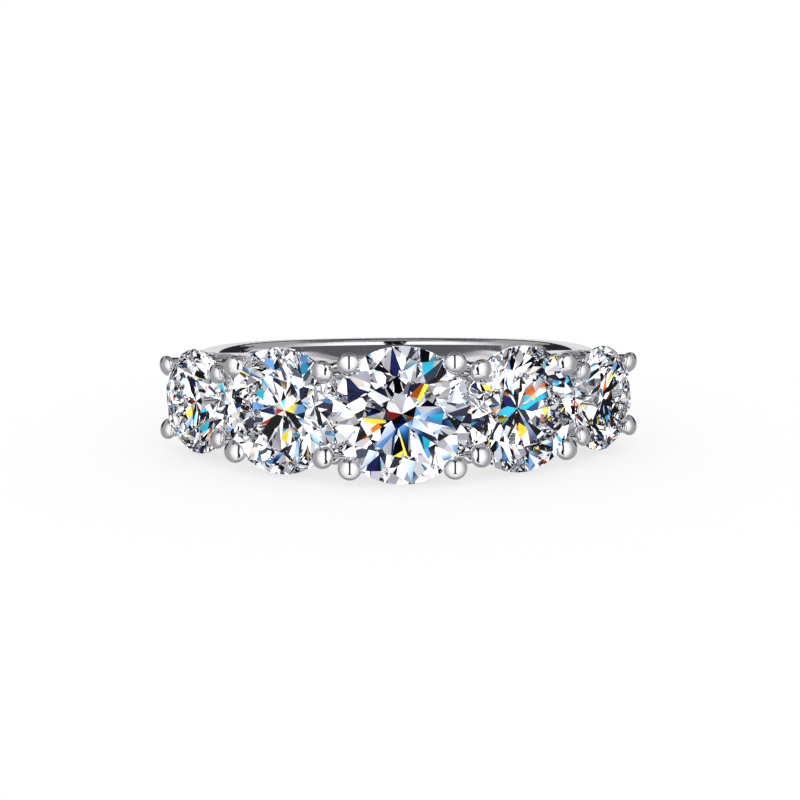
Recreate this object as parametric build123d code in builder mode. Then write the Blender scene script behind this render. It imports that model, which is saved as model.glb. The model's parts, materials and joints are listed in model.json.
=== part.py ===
from build123d import *
import math
import os

# A five stone ring in white metal: a plain shank, and five round brilliants in
# open settings, each stone held by four prongs with rounded tips.
# The ring is drawn with its finger axis along Z and its stones towards -Y,
# and is laid down on its side at the end, as it rests on a table.
# Lengths are millimetres and angles are degrees.

# Shank
finger_radius = 8.65
shank_thickness = 1.5
back_half_width = 1.05
shoulder_half_width = 2.12
outer_edge_rounding = 0.5
inner_edge_rounding = 0.3
head_thickness = 1.1
head_overrun = 1.9
# how the shank widens: degrees round from its back, and the share of the way
# from the back's half width to the shoulder's
shank_flare = ((0.0, 0.0), (38.0, 0.11), (65.0, 0.31), (90.0, 0.44), (114.0, 0.88), (124.0, 1.0))

# Stones: diameters, the height of each girdle above the finger, and how far the
# middle stone's neighbours tuck under it
centre_diameter = 6.5
second_diameter = 6.0
outer_diameter = 5.0
centre_girdle_height = 3.65
second_girdle_height = 3.2
outer_girdle_height = 3.1
second_tuck = 0.2

# Cut of a stone: shares of its girdle radius, angles from the girdle, and the
# turn of its facets about its own axis
table_share = 0.60
girdle_share = 0.06
star_share = 0.55
lower_half_share = 0.77
crown_angle = 34.5
pavilion_angle = 40.75
stone_turn = 8.0
girdle_flats = 32
main_facets = 8

# Prongs: where their tips and feet stand, along the ring and across it, as shares
# of the stone's radius
centre_tips = (0.754, 0.748)
second_tips = (0.773, 0.660)
outer_tips = (0.844, 0.608)
centre_feet = (0.538, 0.529)
second_feet = (0.540, 0.540)
outer_feet = (0.600, 0.568)
centre_tip_radius = 0.565
second_tip_radius = 0.58
outer_tip_radius = 0.50
tip_flatness = 0.70
tip_side_share = 0.5
tip_lift = 0.30
tip_lean = 14.0
wire_share = 0.80
foot_height = 0.55

# Seats cut by a bur, and round windows through to the finger
seat_clearance = 0.08
seat_rise = 0.5
window_overrun = 0.6
window_share = 0.38

# Gussets between prongs, at the shoulders, and gallery bars under the girdles
gusset_inner = 0.85
gusset_drop = 0.42
gusset_dip = 0.2
gusset_reach = 0.85
shoulder_run = 5.2
shoulder_sink = 0.2
shoulder_share = 0.68
gallery_depth = 1.75
gallery_radius = 0.30

shank_radius = finger_radius + shank_thickness
head_radius = finger_radius + head_thickness
mean_radius = finger_radius + shank_thickness / 2
bore_edge = finger_radius + inner_edge_rounding / 2
foot_radius = finger_radius + foot_height
centre_girdle_radius = finger_radius + centre_girdle_height
second_girdle_radius = finger_radius + second_girdle_height
outer_girdle_radius = finger_radius + outer_girdle_height
# far enough to cut right across the ring
reach = 2 * shank_radius


def turn_for(run, radius):
    """The angle that a run along the ring takes at a radius."""
    return math.degrees(run / radius)


# angles round the ring from its middle
second_angle = turn_for(
    (centre_diameter + second_diameter) / 2 - second_tuck, centre_girdle_radius
)
outer_angle = second_angle + turn_for(
    (second_diameter + outer_diameter) / 2, second_girdle_radius
)
head_half_angle = outer_angle + turn_for(head_overrun, head_radius)
shoulder_angle = outer_angle + turn_for(shoulder_run, shank_radius)


def seat_plane(angle, girdle_radius):
    """The plane of a stone's girdle: x runs along the ring, y along the finger, z outward."""
    outward = Vector(math.sin(math.radians(angle)), -math.cos(math.radians(angle)), 0)
    along = Vector(math.cos(math.radians(angle)), math.sin(math.radians(angle)), 0)
    return Plane(origin=outward * girdle_radius, x_dir=along, z_dir=outward)


class StoneSetting:
    """One stone's sizes, its place on the ring and the four prongs that hold it."""

    def __init__(self, name, diameter, angle, girdle_radius, tips, feet, tip_radius):
        self.name = name
        self.radius = diameter / 2
        self.girdle_radius = girdle_radius
        self.plane = seat_plane(angle, girdle_radius)
        self.tips = [share * self.radius for share in tips]
        self.feet = [share * self.radius for share in feet]
        self.tip_radius = tip_radius
        self.wire_radius = tip_radius * wire_share

    def tip(self, along, across):
        """Centre of the rounded tip on one side along the ring and one across it."""
        return self.plane.from_local_coords(
            Vector(along * self.tips[0], across * self.tips[1], tip_lift)
        )

    def foot(self, along, across):
        """Where the prong's wire ends inside the rail."""
        return self.plane.from_local_coords(
            Vector(along * self.feet[0], across * self.feet[1], foot_radius - self.girdle_radius)
        )


centre = StoneSetting(
    "stone_centre", centre_diameter, 0, centre_girdle_radius,
    centre_tips, centre_feet, centre_tip_radius,
)
second_left, second_right = (
    StoneSetting(
        name, second_diameter, angle, second_girdle_radius,
        second_tips, second_feet, second_tip_radius,
    )
    for name, angle in (("stone_second_left", -second_angle), ("stone_second_right", second_angle))
)
outer_left, outer_right = (
    StoneSetting(
        name, outer_diameter, angle, outer_girdle_radius,
        outer_tips, outer_feet, outer_tip_radius,
    )
    for name, angle in (("stone_outer_left", -outer_angle), ("stone_outer_right", outer_angle))
)
# from left to right round the ring
settings = (outer_left, second_left, centre, second_right, outer_right)


def brilliant_levels(radius):
    """Key radii and heights of a round brilliant above its girdle plane."""
    half_girdle = girdle_share * radius / 2
    crown_slope = math.tan(math.radians(crown_angle))
    pavilion_slope = math.tan(math.radians(pavilion_angle))
    half_step = math.cos(math.pi / main_facets)
    table_radius = table_share * radius
    table_height = half_girdle + (radius - table_radius) * crown_slope
    star_radius = table_radius * half_step + star_share * (radius - table_radius * half_step)
    star_height = half_girdle + (radius - star_radius * half_step) * crown_slope
    half_radius = (1 - lower_half_share) * radius
    half_depth = -half_girdle - (radius - half_radius * half_step) * pavilion_slope
    culet_depth = -half_girdle - radius * pavilion_slope
    return {
        "half_girdle": half_girdle,
        "table": (table_radius, table_height),
        "star": (star_radius, star_height),
        "lower_half": (half_radius, half_depth),
        "culet": culet_depth,
    }


def around(radius, azimuth, height):
    """A point at a radius and an azimuth about the stone's axis."""
    return Vector(
        radius * math.cos(math.radians(azimuth)), radius * math.sin(math.radians(azimuth)), height
    )


def facet(first, second, third):
    """The plane through three points of a facet, facing out of the stone."""
    normal = (second - first).cross(third - first).normalized()
    if normal.dot(first + second + third) < 0:
        normal = -normal
    return Plane(origin=first, z_dir=normal)


def brilliant_facets(radius):
    """The 56 cut planes of a round brilliant besides its table, in its girdle's frame."""
    level = brilliant_levels(radius)
    table_radius, table_height = level["table"]
    star_radius, star_height = level["star"]
    half_radius, half_depth = level["lower_half"]
    top, bottom = level["half_girdle"], -level["half_girdle"]
    culet = Vector(0, 0, level["culet"])
    step = 360 / main_facets
    planes = []
    for number in range(main_facets):
        here, middle, beyond = number * step, (number + 0.5) * step, (number + 1) * step
        level_way = around(1, here + 90, 0)
        table_corner = around(table_radius, here, table_height)
        next_corner = around(table_radius, beyond, table_height)
        star_tip = around(star_radius, middle, star_height)
        lower_tip = around(half_radius, middle, half_depth)
        top_here, top_middle, top_beyond = (around(radius, a, top) for a in (here, middle, beyond))
        low_here, low_middle, low_beyond = (around(radius, a, bottom) for a in (here, middle, beyond))
        # bezel, star and pavilion main
        planes.append(facet(top_here, table_corner, top_here + level_way))
        planes.append(facet(table_corner, next_corner, star_tip))
        planes.append(facet(low_here, culet, low_here + level_way))
        # upper and lower girdle facets
        planes.append(facet(star_tip, top_here, top_middle))
        planes.append(facet(star_tip, top_middle, top_beyond))
        planes.append(facet(lower_tip, low_here, low_middle))
        planes.append(facet(lower_tip, low_middle, low_beyond))
    return planes


def turned_outline(radius):
    """Half the outline of the turned shape that just holds a brilliant, open above its table."""
    level = brilliant_levels(radius)
    return (
        (0, level["table"][1] + seat_rise),
        (level["table"][0], level["table"][1] + seat_rise),
        level["star"],
        (radius, level["half_girdle"]),
        (radius, -level["half_girdle"]),
        level["lower_half"],
        (0, level["culet"]),
    )


def wire_point(setting, along, across, depth):
    """The centre of a prong's wire at a depth under its stone's girdle."""
    tip = setting.tip(along, across)
    foot = setting.foot(along, across)
    share = (tip_lift + depth) / (tip_lift + setting.girdle_radius - foot_radius)
    return tip + (foot - tip) * share


def lowered(setting, along, across):
    """A point of the wire just under its rounded tip, where a gusset meets it."""
    return wire_point(setting, along, across, gusset_drop - tip_lift)


def distance_from_axis(rim):
    """How far an edge lies from the finger's axis."""
    point = rim @ 0.4
    return math.hypot(point.X, point.Y)


def raised_side(point, across, rise):
    """The same point moved to the outer side of the wire, across the ring."""
    return point + Vector(0, 0, across * rise)


def gusset(across, corners, side_points):
    """A web between two prongs, hollowed at its top, with a slanting outer side.

    The corners are its two top corners and its two feet, in order round it, and
    the side points are three points of its outer side."""
    start, finish, finish_foot, start_foot = (Vector(c.X, c.Y, 0) for c in corners)
    inward = Vector(0, 0, 0) - (start + finish) * 0.5
    sunk = (start + finish) * 0.5 + inward.normalized() * gusset_dip
    outside = Plane(
        origin=side_points[0],
        z_dir=(side_points[1] - side_points[0]).cross(side_points[2] - side_points[0]),
    )
    if outside.z_dir.Z * across < 0:
        outside = Plane(origin=outside.origin, z_dir=-outside.z_dir)
    with BuildPart() as web:
        with BuildSketch(Plane.XY.offset(across * gusset_inner)):
            with BuildLine():
                ThreePointArc(start, sunk, finish)
                Polyline(finish, finish_foot, start_foot, start)
            make_face()
        extrude(amount=across * 2 * shoulder_half_width)
        split(bisect_by=outside, keep=Keep.BOTTOM)
    return web.part


def gusset_between(left, right, across):
    """The web between the neighbouring prongs of two stones."""
    corners = (
        lowered(left, 1, across),
        lowered(right, -1, across),
        right.foot(-1, across),
        left.foot(1, across),
    )
    side = (
        raised_side(corners[0], across, left.wire_radius * gusset_reach),
        raised_side(corners[1], across, right.wire_radius * gusset_reach),
        raised_side((corners[2] + corners[3]) * 0.5, across, left.wire_radius * gusset_reach),
    )
    return gusset(across, corners, side)


def shoulder_gusset(outer, along, across):
    """The web that runs from the ring's last prong down to the shank's shoulder."""
    angle = math.radians(shoulder_angle)
    outward = Vector(along * math.sin(angle), -math.cos(angle), 0)
    corners = (
        lowered(outer, along, across),
        outward * (shank_radius - shoulder_sink),
        outward * foot_radius,
        outer.foot(along, across),
    )
    side = (
        raised_side(corners[0], across, outer.wire_radius * gusset_reach),
        raised_side(corners[1], across, shoulder_half_width * shoulder_share),
        raised_side(corners[3], across, outer.wire_radius * gusset_reach),
    )
    return gusset(across, corners, side)


def prong(holder, along, across):
    """A round wire with a rounded, slightly flat tip that leans over the stone."""
    foot = holder.foot(along, across)
    tip = holder.tip(along, across)
    lean = math.radians(across * tip_lean)
    leaning = holder.plane.z_dir * math.cos(lean) - holder.plane.y_dir * math.sin(lean)
    tip_plane = Plane(
        origin=tip, x_dir=holder.plane.x_dir, z_dir=holder.plane.x_dir.cross(leaning)
    )
    # the tip's outline is an oval of a small arc at its side and a wide one over its top
    height = holder.tip_radius * tip_flatness
    side = holder.tip_radius * tip_side_share
    overhang = holder.tip_radius - side
    cap = (height**2 + overhang**2 - side**2) / (2 * (height - side))
    meeting = math.degrees(math.atan2(cap - height, overhang))
    with BuildPart() as wire:
        with BuildSketch(Plane(origin=foot, z_dir=tip - foot)):
            Circle(holder.wire_radius)
        extrude(amount=(tip - foot).length)
        with BuildSketch(tip_plane):
            with BuildLine():
                CenterArc((0, height - cap), cap, meeting, 90 - meeting)
                CenterArc((holder.tip_radius - side, 0), side, -meeting, 2 * meeting)
                CenterArc((0, cap - height), cap, -90, 90 - meeting)
                Line((0, -height), (0, height))
            make_face()
        revolve(axis=Axis(tip, leaning))
    return wire.part


def gallery_bar(holder, across):
    """The bar that ties the two prongs on one side of a stone under its girdle."""
    start = wire_point(holder, -1, across, gallery_depth)
    finish = wire_point(holder, 1, across, gallery_depth)
    with BuildPart() as bar:
        with BuildSketch(Plane(origin=start, z_dir=finish - start)):
            Circle(gallery_radius)
        extrude(amount=(finish - start).length)
    return bar.part


def seat_cutter(holder):
    """What the setter's bur and the pierced window take away for one stone."""
    points = turned_outline(holder.radius + seat_clearance)
    upright = Plane(
        origin=holder.plane.origin, x_dir=holder.plane.x_dir, z_dir=-holder.plane.y_dir
    )
    with BuildPart() as cutter:
        with BuildSketch(upright):
            with BuildLine():
                Polyline(*points, close=True)
            make_face()
        revolve(axis=Axis(holder.plane.origin, holder.plane.z_dir))
        with BuildSketch(holder.plane):
            Circle(holder.radius * window_share)
        extrude(amount=-(holder.girdle_radius - finger_radius + window_overrun))
    return cutter.part


sides = ((-1, -1), (-1, 1), (1, -1), (1, 1))
prongs = [prong(holder, along, across) for holder in settings for along, across in sides]
bars = [gallery_bar(holder, across) for holder in settings for across in (-1, 1)]
webs = [
    gusset_between(left, right, across)
    for left, right in zip(settings, settings[1:])
    for across in (-1, 1)
]
shoulder_webs = [
    shoulder_gusset(outer, along, across)
    for outer, along in ((outer_left, -1), (outer_right, 1))
    for across in (-1, 1)
]
seat_cutters = [seat_cutter(holder) for holder in settings]

# Metal: the shank, the pierced rails under the stones, the prongs, the gussets
# between them and the gallery bars are cast and soldered as one piece
with BuildPart() as setting:
    # plain hoop at the full width of the shoulders
    with BuildSketch(Plane.XY):
        Circle(shank_radius)
        Circle(finger_radius, mode=Mode.SUBTRACT)
    extrude(amount=shoulder_half_width, both=True)

    # its sides taper to the back, seen from the side of the ring
    with BuildSketch(Plane.YZ):
        with BuildLine():
            flare = [
                (
                    shank_radius * math.cos(math.radians(angle)),
                    back_half_width + share * (shoulder_half_width - back_half_width),
                )
                for angle, share in shank_flare
            ]
            edge = Spline(*flare, tangents=((-1, 0), (-1, 0)))
            Polyline(edge @ 1, (-reach, shoulder_half_width), (-reach, 0))
            Line((shank_radius, 0), edge @ 0)
            mirror(about=Plane.XZ)
        make_face()
    extrude(amount=reach, both=True, mode=Mode.INTERSECT)

    # the long edges are rounded, most on the outside
    rims = setting.edges().filter_by(GeomType.LINE, reverse=True)
    fillet(rims.filter_by(lambda rim: distance_from_axis(rim) > mean_radius), outer_edge_rounding)
    rims = setting.edges().filter_by(GeomType.LINE, reverse=True)
    fillet(rims.filter_by(lambda rim: distance_from_axis(rim) < bore_edge), inner_edge_rounding)

    # the head is thinner than the shank, between the two shoulders
    with BuildSketch(Plane.XY.offset(-shoulder_half_width)):
        with BuildLine():
            start = -90 - head_half_angle
            within = CenterArc((0, 0), head_radius, start, 2 * head_half_angle)
            beyond = CenterArc((0, 0), reach, start, 2 * head_half_angle)
            Line(within @ 0, beyond @ 0)
            Line(within @ 1, beyond @ 1)
        make_face()
    extrude(amount=2 * shoulder_half_width, mode=Mode.SUBTRACT)

    add([*webs, *shoulder_webs, *bars, *prongs])
    add(seat_cutters, mode=Mode.SUBTRACT)


def brilliant(holder):
    """A round brilliant: a preform with a flatted girdle, cut facet by facet."""
    level = brilliant_levels(holder.radius)
    girdle = Plane(holder.plane.location * Location((0, 0, 0), (0, 0, stone_turn)))
    with BuildPart() as stone:
        with BuildSketch(girdle.offset(level["culet"])):
            RegularPolygon(radius=holder.radius, side_count=girdle_flats)
        extrude(amount=level["table"][1] - level["culet"])
        for cut in brilliant_facets(holder.radius):
            split(bisect_by=Plane(girdle.location * cut.location), keep=Keep.BOTTOM)
    return stone.part


stones = [brilliant(holder) for holder in settings]

# The ring lies on its side, on the middle stone's girdle and the back of the shank
rest_angle = math.degrees(
    math.atan2(
        centre.radius - back_half_width,
        centre.girdle_radius + shank_radius - outer_edge_rounding,
    )
)
tilted = Location((0, 0, 0), (-rest_angle, 0, 0))
box = Compound(children=[tilted * piece for piece in (setting.part, *stones)]).bounding_box()
laid = Location((-box.center().X, -box.center().Y, -box.min.Z)) * tilted

os.makedirs("parts", exist_ok=True)
setting.part = laid * setting.part
setting.part.label = "ring_setting"
export_step(setting.part, "parts/ring_setting.step")
for holder, stone in zip(settings, stones):
    laid_stone = laid * stone
    laid_stone.label = holder.name
    export_step(laid_stone, f"parts/{holder.name}.step")
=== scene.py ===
import bmesh
import bpy
import json
import math
from mathutils import Matrix, Vector

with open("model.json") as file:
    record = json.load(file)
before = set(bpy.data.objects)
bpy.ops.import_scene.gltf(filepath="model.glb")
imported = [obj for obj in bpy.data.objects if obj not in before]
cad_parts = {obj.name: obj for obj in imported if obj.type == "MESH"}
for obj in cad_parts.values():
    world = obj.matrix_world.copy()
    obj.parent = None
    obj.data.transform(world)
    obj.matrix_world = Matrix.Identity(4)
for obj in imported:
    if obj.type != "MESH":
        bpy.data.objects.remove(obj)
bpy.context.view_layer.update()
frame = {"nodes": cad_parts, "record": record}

# The setting: shank, pierced rails, prongs, gussets and bars of white metal, cast
# and soldered into one piece, then polished bright and plated. Lapping leaves
# hair-fine lines in it, and wear leaves soft, slightly duller patches.
plating_colour = (0.955, 0.955, 0.965, 1.0)
bright_polish = 0.02
worn_polish = 0.075
wear_patches = 380.0
patch_detail = 4.0
wear_start = 0.4
wear_end = 0.75
lap_lines = 5200.0
lap_detail = 2.0
lap_depth = 0.0000006
lap_strength = 0.12


def wire(net, source, target):
    """Joins two sockets of a net of nodes."""
    net.links.new(source, target)


def plated_metal():
    """Bright white plating over lapped metal."""
    metal = bpy.data.materials.new("white_metal_plating")
    metal.use_nodes = True
    net = metal.node_tree
    shader = net.nodes["Principled BSDF"]
    shader.inputs["Metallic"].default_value = 1.0
    shader.inputs["Base Color"].default_value = plating_colour
    place = net.nodes.new("ShaderNodeTexCoord")
    patches = net.nodes.new("ShaderNodeTexNoise")
    patches.inputs["Scale"].default_value = wear_patches
    patches.inputs["Detail"].default_value = patch_detail
    wire(net, place.outputs["Object"], patches.inputs["Vector"])
    polish = net.nodes.new("ShaderNodeMapRange")
    polish.inputs["From Min"].default_value = wear_start
    polish.inputs["From Max"].default_value = wear_end
    polish.inputs["To Min"].default_value = bright_polish
    polish.inputs["To Max"].default_value = worn_polish
    wire(net, patches.outputs["Fac"], polish.inputs["Value"])
    wire(net, polish.outputs["Result"], shader.inputs["Roughness"])
    lines = net.nodes.new("ShaderNodeTexNoise")
    lines.inputs["Scale"].default_value = lap_lines
    lines.inputs["Detail"].default_value = lap_detail
    wire(net, place.outputs["Object"], lines.inputs["Vector"])
    lapped = net.nodes.new("ShaderNodeBump")
    lapped.inputs["Distance"].default_value = lap_depth
    lapped.inputs["Strength"].default_value = lap_strength
    wire(net, lines.outputs["Fac"], lapped.inputs["Height"])
    wire(net, lapped.outputs["Normal"], shader.inputs["Normal"])
    return metal


setting = frame["nodes"]["ring_setting"]
setting.data.materials.clear()
setting.data.materials.append(plated_metal())

# The stones: five round brilliants of colourless moissanite, cut and polished
# facet by facet, so that their faces are flat and their edges sharp. Each sits in
# its burred seat and is held down by four prongs.
moissanite_index = 2.65
surface_shine = 0.11
inner_clearing = 6.0
body_colour = (0.985, 0.99, 1.0, 1.0)
pure_white = (1.0, 1.0, 1.0, 1.0)
light_bounces = 20


def cut_moissanite():
    """Clear stone: a faint shine outside, and total reflection off the facets inside."""
    stone = bpy.data.materials.new("moissanite")
    stone.use_nodes = True
    net = stone.node_tree
    net.nodes.remove(net.nodes["Principled BSDF"])
    through = net.nodes.new("ShaderNodeBsdfRefraction")
    through.inputs["IOR"].default_value = moissanite_index
    through.inputs["Roughness"].default_value = 0.0
    through.inputs["Color"].default_value = body_colour
    shine = net.nodes.new("ShaderNodeBsdfGlossy")
    shine.inputs["Roughness"].default_value = 0.0
    shine.inputs["Color"].default_value = pure_white
    mirrored = net.nodes.new("ShaderNodeFresnel")
    mirrored.inputs["IOR"].default_value = moissanite_index
    outer_share = net.nodes.new("ShaderNodeMath")
    outer_share.operation = "MULTIPLY"
    outer_share.inputs[1].default_value = surface_shine
    wire(net, mirrored.outputs["Fac"], outer_share.inputs[0])
    inner_share = net.nodes.new("ShaderNodeMath")
    inner_share.operation = "POWER"
    inner_share.inputs[1].default_value = inner_clearing
    wire(net, mirrored.outputs["Fac"], inner_share.inputs[0])
    surface = net.nodes.new("ShaderNodeNewGeometry")
    share = net.nodes.new("ShaderNodeMix")
    wire(net, surface.outputs["Backfacing"], share.inputs["Factor"])
    wire(net, outer_share.outputs["Value"], share.inputs["A"])
    wire(net, inner_share.outputs["Value"], share.inputs["B"])
    whole = net.nodes.new("ShaderNodeMixShader")
    wire(net, share.outputs["Result"], whole.inputs["Fac"])
    wire(net, through.outputs["BSDF"], whole.inputs[1])
    wire(net, shine.outputs["BSDF"], whole.inputs[2])
    wire(net, whole.outputs["Shader"], net.nodes["Material Output"].inputs["Surface"])
    return stone


moissanite = cut_moissanite()
for name, node in frame["nodes"].items():
    if not name.startswith("stone_"):
        continue
    node.data.materials.clear()
    node.data.materials.append(moissanite)
    for face in node.data.polygons:
        face.use_smooth = False
tracing = bpy.context.scene.cycles
tracing.max_bounces = light_bounces
tracing.glossy_bounces = light_bounces
tracing.transmission_bounces = light_bounces

# The table it lies on: one sheet of matt white opal glass, wider than the view and
# lit evenly from below, so that only a faint soft shadow lies under the ring.
opal_half_width = 0.6
opal_corners = ((-1, -1), (1, -1), (1, 1), (-1, 1))
opal_matt = 0.9
opal_white = (0.24, 0.24, 0.24, 1.0)
opal_glow = 0.745
opal_mesh = bpy.data.meshes.new("floor")
corners = [(opal_half_width * x, opal_half_width * y, 0) for x, y in opal_corners]
opal_mesh.from_pydata(corners, [], [range(len(corners))])
floor = bpy.data.objects.new("floor", opal_mesh)
bpy.context.scene.collection.objects.link(floor)
opal = bpy.data.materials.new("lit_opal")
opal.use_nodes = True
opal_shader = opal.node_tree.nodes["Principled BSDF"]
opal_shader.inputs["Base Color"].default_value = opal_white
opal_shader.inputs["Roughness"].default_value = opal_matt
opal_shader.inputs["Specular IOR Level"].default_value = 0.0
opal_shader.inputs["Emission Color"].default_value = pure_white
opal_shader.inputs["Emission Strength"].default_value = opal_glow
floor.data.materials.append(opal)
floor.visible_glossy = False
floor.visible_transmission = False

# The light tent: white cloth all round. The metal mirrors its bright front, its
# grey back with dark and light boards, and the slit between its two front sheets,
# which stands as a dark upright bar in every bead.
bore = next(mount for mount in frame["record"]["mounts"] if mount["name"] == "finger_bore")
finger_axis = Vector(bore["axis"]).normalized()
ring_centre = Vector(bore["pos_m"])
front = Vector((0, -1, 0))
front = (front - front.dot(finger_axis) * finger_axis).normalized()
side = finger_axis.cross(front).normalized()
lens_rise = math.radians(7.78)
lens_side = (math.cos(lens_rise) * front + math.sin(lens_rise) * finger_axis).normalized()

plain_cloth = (1.07, 1.07, 1.07)
front_cloth = (1.08, 1.08, 1.08)
back_cloth = (0.35, 0.35, 0.36)
cloth_fade = (0.88, 0.02)
overhead_cloth = (0.30, 0.30, 0.31)
overhead_reach = (0.78, 0.94)
slit_dark = (0.008, 0.008, 0.010)
slit_height = (-32, 76)
slit_half_width = 0.115
serif_height = 6
serif_half_width = 0.24
slit_softness = 0.035
# painted shade inside the hoop: the heights, in degrees, where the cloth is set dark
hollow_painted_shade_reach = (-16, 14)
# painted shade inside the hoop: after this many mirrorings the cloth there is set to this
# dark colour, standing in for the shade on the hoop's inner wall
hollow_painted_shades = (
    (2, (0.10, 0.10, 0.11)),
    (3, (0.012, 0.012, 0.015)),
)
board_edge = 1.5
# each board: its heights, how far round the sides, both in degrees, and its colour
tent_boards = (
    ((50, 70), (70, 180), (0.14, 0.14, 0.15)),
    ((-3, 24), (120, 171), (0.02, 0.02, 0.025)),
    ((-14, 14), (173, 180), (0.76, 0.76, 0.78)),
    ((17, 58), (160, 180), (0.02, 0.02, 0.025)),
)

world = bpy.data.worlds.new("light_tent")
world.use_nodes = True
bpy.context.scene.world = world
bpy.context.scene.view_settings.view_transform = "Standard"
tent = world.node_tree
tent.nodes.clear()


def reckon(net, operation, *terms):
    """A sum, product or comparison of numbers that vary over the cloth."""
    node = net.nodes.new("ShaderNodeMath")
    node.operation = operation
    for socket, term in zip(node.inputs, terms):
        if isinstance(term, (int, float)):
            socket.default_value = term
        else:
            wire(net, term, socket)
    return node.outputs["Value"]


def toward(net, spot, direction):
    """How squarely a spot lies in a direction: 1 there, -1 opposite."""
    node = net.nodes.new("ShaderNodeVectorMath")
    node.operation = "DOT_PRODUCT"
    wire(net, spot, node.inputs[0])
    node.inputs[1].default_value = direction
    return node.outputs["Value"]


def fade(net, value, start, end):
    """A soft change from 0 to 1."""
    node = net.nodes.new("ShaderNodeMapRange")
    node.interpolation_type = "SMOOTHSTEP"
    node.inputs["From Min"].default_value = start
    node.inputs["From Max"].default_value = end
    wire(net, value, node.inputs["Value"])
    return node.outputs["Result"]


def between(net, value, low, high):
    """1 where an angle lies between two others, in degrees, with a soft edge."""
    middle, reach = math.radians((low + high) / 2), math.radians((high - low) / 2)
    away = reckon(net, "ABSOLUTE", reckon(net, "SUBTRACT", value, middle))
    edge = math.radians(board_edge)
    return fade(net, away, reach + edge, reach - edge)


def hang(net, share, cloth, patch):
    """Puts a patch over the cloth by its share: one number, or one for each colour."""
    node = net.nodes.new("ShaderNodeMix")
    node.data_type = "VECTOR"
    one_share = share.type == "VALUE"
    node.factor_mode = "UNIFORM" if one_share else "NON_UNIFORM"
    # the sockets go by number, because several have the same name
    factor, under, over, mixed = 0 if one_share else 1, 4, 5, 1
    for socket, term in ((factor, share), (under, cloth), (over, patch)):
        if isinstance(term, tuple):
            node.inputs[socket].default_value = term
        else:
            wire(net, term, node.inputs[socket])
    return node.outputs[mixed]


place = tent.nodes.new("ShaderNodeTexCoord")
around = place.outputs["Generated"]
axes = tent.nodes.new("ShaderNodeSeparateXYZ")
wire(tent, around, axes.inputs[0])
across, behind, height = axes.outputs
ahead = reckon(tent, "MULTIPLY", behind, -1.0)
turned = reckon(tent, "ABSOLUTE", reckon(tent, "ARCTAN2", across, ahead))
raised = reckon(tent, "ARCSINE", height)

facing = fade(tent, toward(tent, around, lens_side), *cloth_fade)
mirrored = hang(tent, facing, front_cloth, back_cloth)
steep = fade(tent, reckon(tent, "ABSOLUTE", height), *overhead_reach)
mirrored = hang(tent, steep, mirrored, overhead_cloth)
for heights, sides, colour in tent_boards:
    at_height = between(tent, raised, *heights)
    inside = reckon(tent, "MULTIPLY", at_height, between(tent, turned, *sides))
    mirrored = hang(tent, inside, mirrored, colour)
before = reckon(tent, "GREATER_THAN", ahead, 0.0)
off_middle = reckon(tent, "ABSOLUTE", across)
foot, top = slit_height
for low, high, half_width in (
    (foot, top, slit_half_width),
    (top - serif_height, top, serif_half_width),
    (foot, foot + serif_height, serif_half_width),
):
    narrow = fade(tent, off_middle, half_width + slit_softness, half_width - slit_softness)
    gap = reckon(tent, "MULTIPLY", narrow, between(tent, raised, low, high))
    gap = reckon(tent, "MULTIPLY", gap, before)
    mirrored = hang(tent, gap, mirrored, slit_dark)
paths = tent.nodes.new("ShaderNodeLightPath")
# painted shade: cloth seen after two or more mirrorings at the hoop's heights is set dark,
# standing in for the shade inside the hoop
for mirrorings, dark in hollow_painted_shades:
    again = reckon(tent, "GREATER_THAN", paths.outputs["Glossy Depth"], mirrorings - 0.5)
    hollow_painted_shade = reckon(tent, "MULTIPLY", again, between(tent, raised, *hollow_painted_shade_reach))
    mirrored = hang(tent, hollow_painted_shade, mirrored, dark)
seen = hang(tent, paths.outputs["Is Glossy Ray"], plain_cloth, mirrored)
cloth = tent.nodes.new("ShaderNodeBackground")
wire(tent, seen, cloth.inputs["Color"])
tent_end = tent.nodes.new("ShaderNodeOutputWorld")
wire(tent, cloth.outputs["Background"], tent_end.inputs["Surface"])

# The lamp dome: black, grey and coloured boards and lamps close round the ring,
# which only the stones gather, through small glass panes and a thin haze. Their
# soft edges come apart into colours, as light does in a cut stone.
dome_radius = 0.030
dome_steps = 48
middle_girdle = 0.0123
dome_centre = ring_centre + middle_girdle * front
front_glow = (1.72, 1.72, 1.72)
back_glow = (0.72, 0.72, 0.74)
glow_fade = (0.15, 0.25)
no_light = (0.0, 0.0, 0.0)
board_softness = 0.12
plain_below = 5.0
haze_fineness = 9.0
haze_detail = 1.0
haze_reach = (0.34, 0.60)
haze_dimming = 0.56
pane_fineness = 23.0
# each kind of pane: the draw that it starts from, and the light that it lets through
panes = (
    (0.00, (0.05, 0.06, 0.09)),
    (0.08, (0.42, 0.42, 0.48)),
    (0.19, (0.74, 0.73, 0.72)),
    (0.38, (1.00, 1.00, 1.00)),
)
cool_edge = (1.035, 1.0, 0.965)
warm_edge = (0.97, 1.0, 1.03)
edges_in_turn = (cool_edge, cool_edge, warm_edge)
lamps = {
    "black": (0.003, 0.003, 0.006),
    "dark": (0.038, 0.040, 0.075),
    "grey": (0.70, 0.70, 0.75),
    "bright": (2.2, 2.2, 2.2),
    "navy": (0.008, 0.018, 0.130),
    "cyan": (0.03, 0.75, 1.10),
    "sky": (0.17, 0.47, 1.00),
    "orange": (1.3, 0.24, 0.02),
    "yellow": (1.5, 1.15, 0.06),
    "red": (0.50, 0.035, 0.015),
}
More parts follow.
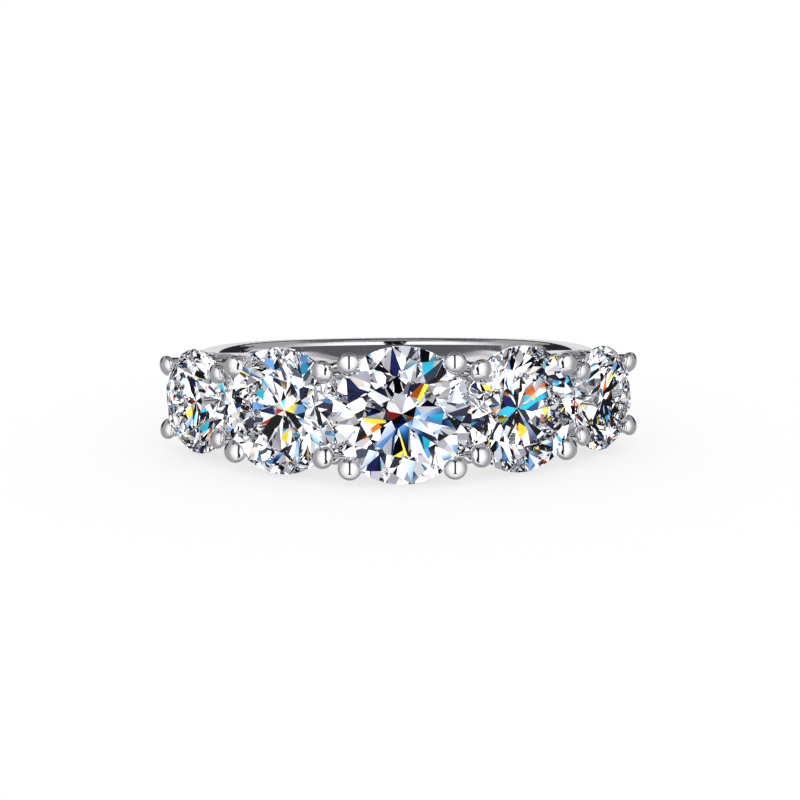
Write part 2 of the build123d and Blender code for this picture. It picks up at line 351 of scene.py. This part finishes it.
# each as it hangs: which lamp, and its turn round the ring, its rise and its half
# width in degrees
hung = (
    ("black", -1.1, 24, 13), ("black", 59.8, -0.6, 13), ("black", 62.1, 34.4, 13),
    ("dark", 10.2, 5.3, 13), ("black", 23.1, 55.2, 9), ("black", -38.9, 72, 13),
    ("black", 73.3, 14.5, 13), ("black", -56.5, 16.9, 13), ("grey", -15.7, -8.2, 13),
    ("grey", 9.1, -11.2, 9), ("black", -34.6, 7.4, 6), ("black", 54, -13.4, 13),
    ("black", 18.6, -19.3, 6), ("black", 56.2, 20.2, 13), ("dark", 5.5, 9.3, 9),
    ("bright", 32.5, 43.2, 6), ("black", -1.7, 60.8, 9), ("black", -61.9, 55.6, 4),
    ("black", -51.1, -14.1, 9), ("grey", -43, 33.6, 13), ("bright", 22.6, 3.8, 6),
    ("bright", -47, 8.9, 9), ("grey", 14.3, 29.4, 6), ("dark", 31.4, 23.4, 6),
    ("black", 28.1, -27.8, 4), ("black", -49.3, -24.9, 6), ("dark", -83.1, 31.4, 13),
    ("black", -5.1, 0.5, 6), ("grey", -9.8, 4.4, 6), ("black", -74.8, 5.6, 9),
    ("black", 68.2, -25.8, 13), ("black", -31, -13.1, 4), ("black", -33.9, -19.7, 4),
    ("dark", 72.7, 45.8, 13), ("cyan", 35, 2.3, 4), ("sky", 16.8, -8.8, 2.8),
    ("cyan", -53.6, 23.6, 4), ("orange", 97.4, 41.7, 6), ("sky", 26.7, 27.7, 2.8),
    ("cyan", 21.5, -12.8, 4), ("navy", -4, 17.3, 4), ("sky", 9.5, 34, 2.8),
    ("sky", -17.5, 2, 2.1), ("navy", -14.1, 64, 4), ("navy", 35.5, 52.7, 4),
    ("cyan", -82.8, -44.3, 6), ("sky", 33.2, 12.7, 2.8), ("sky", 29.9, -40.2, 2.8),
    ("sky", -55.8, -10.1, 2.8), ("navy", 13.8, -15.2, 4), ("navy", 77.4, 40.5, 6),
    ("navy", -8.7, 21.4, 4), ("navy", 17.2, 36.9, 4), ("navy", 30.7, 59.7, 4),
    ("navy", -50.6, 30.7, 5), ("navy", 59.1, 27.1, 4), ("sky", 28.1, -27.8, 2.8),
    ("sky", -67.8, 37.2, 2.8), ("navy", 11.3, 22.4, 4), ("sky", -27.7, 39.6, 2.8),
    ("grey", 7, -40.5, 5), ("orange", 20.4, 14.6, 1.8), ("yellow", 5.7, 38.1, 2.5),
    ("orange", -32.9, 19.2, 1.5), ("yellow", -22, 11.8, 1.3), ("yellow", 21.3, -1.9, 1.4),
    ("red", 14, 28.5, 0.9), ("red", 52.3, -1.9, 0.9), ("sky", -25.6, -10.2, 1.8),
    ("navy", -17.7, -1.1, 1.5), ("sky", 69, 27, 2), ("grey", -44, -18, 2.2),
    ("yellow", -20.8, -29.9, 2.3), ("cyan", 32.6, -37.5, 2.3), ("cyan", -27.3, 11.6, 2.3),
    ("sky", -57.8, -6.2, 2.3), ("yellow", -44.5, -18, 2.3), ("yellow", -54.6, -4.2, 2.3),
    ("black", -45.5, 18.4, 2.2), ("navy", -21.7, -30, 2.2), ("red", -20.3, -1.6, 1.1),
    ("orange", 50.7, 1.7, 2.3), ("yellow", 22.6, 18.2, 2.3), ("cyan", 43.5, 11.6, 2.3),
    ("cyan", 69.5, -7.6, 2.3), ("sky", 24.7, 1.4, 2.3), ("yellow", 48, -5.4, 2.3),
    ("yellow", 54.5, 14.3, 2.3), ("black", 82.3, 9.3, 2.2), ("navy", 15.1, -37.9, 2.2),
    ("red", 59.4, -7.9, 2.3), ("grey", 37.4, -28, 2.2), ("orange", -66.6, -40.2, 2.3),
    ("yellow", -67.4, -61.4, 2.3), ("yellow", -76.8, 4.5, 2.3), ("navy", -63.2, 4.6, 2.2),
    ("red", -38.1, 3.6, 2.3), ("orange", 47.3, -17.3, 2.3), ("cyan", -10.3, -7, 2.3),
    ("cyan", 58.1, -9.8, 2.3), ("yellow", 51.3, 34.8, 2.3), ("yellow", 52.9, 55.3, 2.3),
    ("grey", 47.2, -24.1, 2.2), ("navy", 60, -3, 2),
)

dome_mesh = bpy.data.meshes.new("lamp_dome")
shell = bmesh.new()
bmesh.ops.create_uvsphere(
    shell, u_segments=2 * dome_steps, v_segments=dome_steps, radius=dome_radius
)
shell.to_mesh(dome_mesh)
shell.free()
lamp_dome = bpy.data.objects.new("lamp_dome", dome_mesh)
lamp_dome.location = dome_centre
bpy.context.scene.collection.objects.link(lamp_dome)
for ray in ("camera", "diffuse", "glossy", "shadow", "volume_scatter"):
    setattr(lamp_dome, "visible_" + ray, False)

lamplight = bpy.data.materials.new("lamp_dome_light")
lamplight.use_nodes = True
lamplight.cycles.emission_sampling = "NONE"
net = lamplight.node_tree
net.nodes.remove(net.nodes["Principled BSDF"])
dome_wall = net.nodes.new("ShaderNodeNewGeometry")
offset = net.nodes.new("ShaderNodeVectorMath")
offset.operation = "SUBTRACT"
wire(net, dome_wall.outputs["Position"], offset.inputs[0])
offset.inputs[1].default_value = dome_centre
unit = net.nodes.new("ShaderNodeVectorMath")
unit.operation = "NORMALIZE"
wire(net, offset.outputs["Vector"], unit.inputs[0])
outward = unit.outputs["Vector"]
behind_ring = fade(net, toward(net, outward, -front), *glow_fade)
gathered = hang(net, behind_ring, front_glow, back_glow)
for number, (lamp, turn, rise, half_width) in enumerate(hung):
    turn, rise = math.radians(turn), math.radians(rise)
    level = math.sin(turn) * side + math.cos(turn) * front
    placed = math.cos(rise) * level + math.sin(rise) * finger_axis
    squarely = toward(net, outward, placed)
    shares = edges_in_turn[number % len(edges_in_turn)]
    widths = [math.radians(half_width) * share for share in shares]
    starts = [math.cos(width * (1 + board_softness)) for width in widths]
    ends = [math.cos(width * (1 - board_softness)) for width in widths]
    if half_width < plain_below:
        gathered = hang(net, fade(net, squarely, starts[1], ends[1]), gathered, lamps[lamp])
        continue
    edge = net.nodes.new("ShaderNodeMapRange")
    edge.data_type = "FLOAT_VECTOR"
    edge.interpolation_type = "SMOOTHSTEP"
    wire(net, squarely, edge.inputs["Vector"])
    # these sockets go by number, because their names are those of the hidden plain ones
    from_low, from_high = 7, 8
    edge.inputs[from_low].default_value = starts
    edge.inputs[from_high].default_value = ends
    gathered = hang(net, edge.outputs["Vector"], gathered, lamps[lamp])
screen = net.nodes.new("ShaderNodeTexVoronoi")
screen.inputs["Scale"].default_value = pane_fineness
wire(net, outward, screen.inputs["Vector"])
draw = net.nodes.new("ShaderNodeSeparateXYZ")
wire(net, screen.outputs["Color"], draw.inputs[0])
pane = net.nodes.new("ShaderNodeValToRGB")
pane.color_ramp.interpolation = "CONSTANT"
for start, _ in panes[1:-1]:
    pane.color_ramp.elements.new(start)
for stop, (start, passed) in zip(pane.color_ramp.elements, panes):
    stop.position = start
    stop.color = (*passed, 1.0)
wire(net, draw.outputs["X"], pane.inputs["Fac"])
gathered = hang(net, pane.outputs["Color"], no_light, gathered)
haze = net.nodes.new("ShaderNodeTexNoise")
haze.inputs["Scale"].default_value = haze_fineness
haze.inputs["Detail"].default_value = haze_detail
wire(net, outward, haze.inputs["Vector"])
cleared = fade(net, haze.outputs["Fac"], *haze_reach)
clearness = reckon(net, "MULTIPLY_ADD", cleared, 1.0 - haze_dimming, haze_dimming)
gathered = hang(net, clearness, no_light, gathered)
glow = net.nodes.new("ShaderNodeEmission")
wire(net, gathered, glow.inputs["Color"])
wire(net, glow.outputs["Emission"], net.nodes["Material Output"].inputs["Surface"])
dome_mesh.materials.append(lamplight)

# The camera: a long lens on a stand in front of the stones, a little above the
# ring's own plane and a little to its left.
camera_distance = 0.200
camera_swing = math.radians(1.2)
camera_roll = math.radians(0.3)
film_width = 36.0  # millimetres, as the lens is
nearest_seen, farthest_seen = 0.01, 10.0
pixels_a_metre = 21540.0
frame_pixels = 800
aim_across = 396.5
aim_down = 415.4

swung_front = math.cos(camera_swing) * front - math.sin(camera_swing) * side
swung_side = math.cos(camera_swing) * side + math.sin(camera_swing) * front
focus = ring_centre + middle_girdle * swung_front
back_of_lens = math.cos(lens_rise) * swung_front + math.sin(lens_rise) * finger_axis
upright = swung_side.cross(-back_of_lens)
right = math.cos(camera_roll) * swung_side - math.sin(camera_roll) * upright
above = right.cross(-back_of_lens)
long_lens = bpy.data.cameras.new("long_lens")
long_lens.sensor_width = film_width
long_lens.lens = film_width * camera_distance * pixels_a_metre / frame_pixels
long_lens.clip_start, long_lens.clip_end = nearest_seen, farthest_seen
long_lens.shift_x = (frame_pixels / 2 - aim_across) / frame_pixels
long_lens.shift_y = (aim_down - frame_pixels / 2) / frame_pixels
camera = bpy.data.objects.new("camera", long_lens)
bpy.context.scene.collection.objects.link(camera)
stance = Matrix((right, above, back_of_lens)).transposed().to_4x4()
camera.matrix_world = Matrix.Translation(focus + camera_distance * back_of_lens) @ stance
bpy.context.scene.camera = camera
